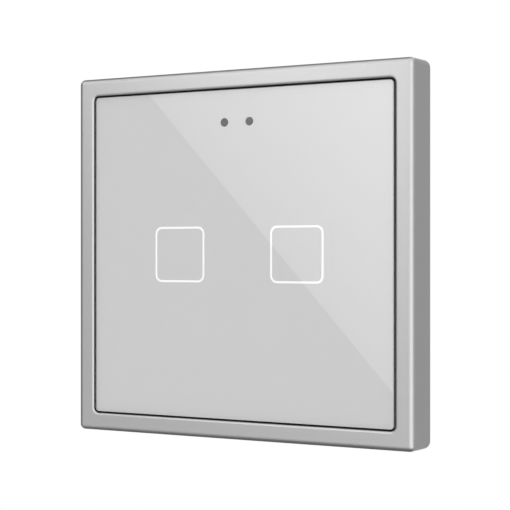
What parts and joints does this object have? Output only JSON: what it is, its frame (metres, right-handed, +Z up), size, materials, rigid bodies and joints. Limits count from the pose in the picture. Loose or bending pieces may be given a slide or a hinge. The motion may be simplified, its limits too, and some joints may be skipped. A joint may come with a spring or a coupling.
{
  "type": "touch light switch",
  "caption": "Square glass touch switch for a wall box: silver frame, printed glass, outlined touch fields, pull-off magnetic front, steel bracket and a rear relay unit with screw terminals.",
  "frame": {"origin": "middle of the wall box screw pattern, on the wall plane behind the steel bracket", "axes": "X to the right as seen from the room, Y into the wall, Z up; the glass faces -Y"},
  "size_m": [0.0826, 0.0334, 0.0826],
  "materials": {
    "silver_lacquer": "satin silver lacquer on moulded plastic",
    "clear_glass": "polished clear glass",
    "silver_print": "fine silver screen print",
    "opal_plastic": "opal light guide",
    "dark_filter": "dark infrared filter",
    "foam_tape": "black adhesive foam",
    "black_plastic": "fine moulded black",
    "electrode_brass": "stamped brass",
    "circuit_board": "green solder mask",
    "chip_epoxy": "moulded epoxy",
    "diode_resin": "cast resin",
    "gold_pin": "gold plated",
    "white_plastic": "fine moulded white",
    "screw_steel": "zinc plated",
    "magnet_nickel": "nickel plated",
    "zinc_steel": "zinc plated sheet",
    "relay_case": "moulded blue case",
    "ferrite": "pressed ferrite",
    "copper_wire": "enamelled copper",
    "capacitor_sleeve": "shrunk sleeve",
    "capacitor_case": "yellow moulded case",
    "varistor_lacquer": "dipped lacquer",
    "fuse_ceramic": "ceramic body",
    "terminal_plastic": "dark grey moulding"
  },
  "bodies": {
    "wall_base": {"mounting_bracket": "zinc_steel", "base_lid": "white_plastic", "rear_housing": "white_plastic", "bracket_screws": "screw_steel", "power_board": "circuit_board", "link_socket": "black_plastic", "relay_left": "relay_case", "relay_right": "relay_case", "transformer_core": "ferrite", "transformer_winding": "copper_wire", "smoothing_capacitor": "capacitor_sleeve", "suppression_capacitor": "capacitor_case", "varistor": "varistor_lacquer", "fuse": "fuse_ceramic", "bridge_rectifier": "chip_epoxy", "terminal_busbars": "electrode_brass", "terminal_block_1": "terminal_plastic", "terminal_block_2": "terminal_plastic", "terminal_block_3": "terminal_plastic", "terminal_block_4": "terminal_plastic"},
    "touch_front": {"outer_frame": "silver_lacquer", "glass_panel": "clear_glass", "printed_film": "silver_print", "light_guide_left": "opal_plastic", "light_guide_right": "opal_plastic", "sensor_window_left": "dark_filter", "sensor_window_right": "dark_filter", "panel_tape": "foam_tape", "panel_carrier": "black_plastic", "touch_pad_left": "electrode_brass", "touch_pad_right": "electrode_brass", "touch_board": "circuit_board", "touch_controller": "chip_epoxy", "board_chips": "chip_epoxy", "indicator_leds": "diode_resin", "light_sensor": "chip_epoxy", "presence_sensor": "chip_epoxy", "link_header": "black_plastic", "link_pins": "gold_pin", "back_plate": "white_plastic", "cover_screws": "screw_steel", "holding_magnets": "magnet_nickel"},
    "terminal_screw_1_body": {"terminal_screw_1": "screw_steel"},
    "terminal_cage_1_body": {"terminal_cage_1": "zinc_steel"},
    "terminal_screw_2_body": {"terminal_screw_2": "screw_steel"},
    "terminal_cage_2_body": {"terminal_cage_2": "zinc_steel"},
    "terminal_screw_3_body": {"terminal_screw_3": "screw_steel"},
    "terminal_cage_3_body": {"terminal_cage_3": "zinc_steel"},
    "terminal_screw_4_body": {"terminal_screw_4": "screw_steel"},
    "terminal_cage_4_body": {"terminal_cage_4": "zinc_steel"}
  },
  "joints": [
    {"name": "front_release", "type": "slide", "parent": "wall_base", "child": "touch_front", "axis": [0, -1, 0], "range_m": [0, 0.04]},
    {"name": "clamp_screw_1", "type": "hinge", "parent": "wall_base", "child": "terminal_screw_1_body", "pos_m": [-0.0105, 0.0186, -0.01725], "axis": [0, -1, 0], "range_deg": [0, 1728]},
    {"name": "clamp_lift_1", "type": "slide", "parent": "wall_base", "child": "terminal_cage_1_body", "axis": [0, 1, 0], "range_m": [0, 0.0024]},
    {"name": "clamp_screw_2", "type": "hinge", "parent": "wall_base", "child": "terminal_screw_2_body", "pos_m": [-0.0035, 0.0186, -0.01725], "axis": [0, -1, 0], "range_deg": [0, 1728]},
    {"name": "clamp_lift_2", "type": "slide", "parent": "wall_base", "child": "terminal_cage_2_body", "axis": [0, 1, 0], "range_m": [0, 0.0024]},
    {"name": "clamp_screw_3", "type": "hinge", "parent": "wall_base", "child": "terminal_screw_3_body", "pos_m": [0.0035, 0.0186, -0.01725], "axis": [0, -1, 0], "range_deg": [0, 1728]},
    {"name": "clamp_lift_3", "type": "slide", "parent": "wall_base", "child": "terminal_cage_3_body", "axis": [0, 1, 0], "range_m": [0, 0.0024]},
    {"name": "clamp_screw_4", "type": "hinge", "parent": "wall_base", "child": "terminal_screw_4_body", "pos_m": [0.0105, 0.0186, -0.01725], "axis": [0, -1, 0], "range_deg": [0, 1728]},
    {"name": "clamp_lift_4", "type": "slide", "parent": "wall_base", "child": "terminal_cage_4_body", "axis": [0, 1, 0], "range_m": [0, 0.0024]}
  ],
  "couplings": [
    {"joint": "clamp_screw_1", "follows": "clamp_lift_1", "rad_per_m": 12566},
    {"joint": "clamp_screw_2", "follows": "clamp_lift_2", "rad_per_m": 12566},
    {"joint": "clamp_screw_3", "follows": "clamp_lift_3", "rad_per_m": 12566},
    {"joint": "clamp_screw_4", "follows": "clamp_lift_4", "rad_per_m": 12566}
  ]
}
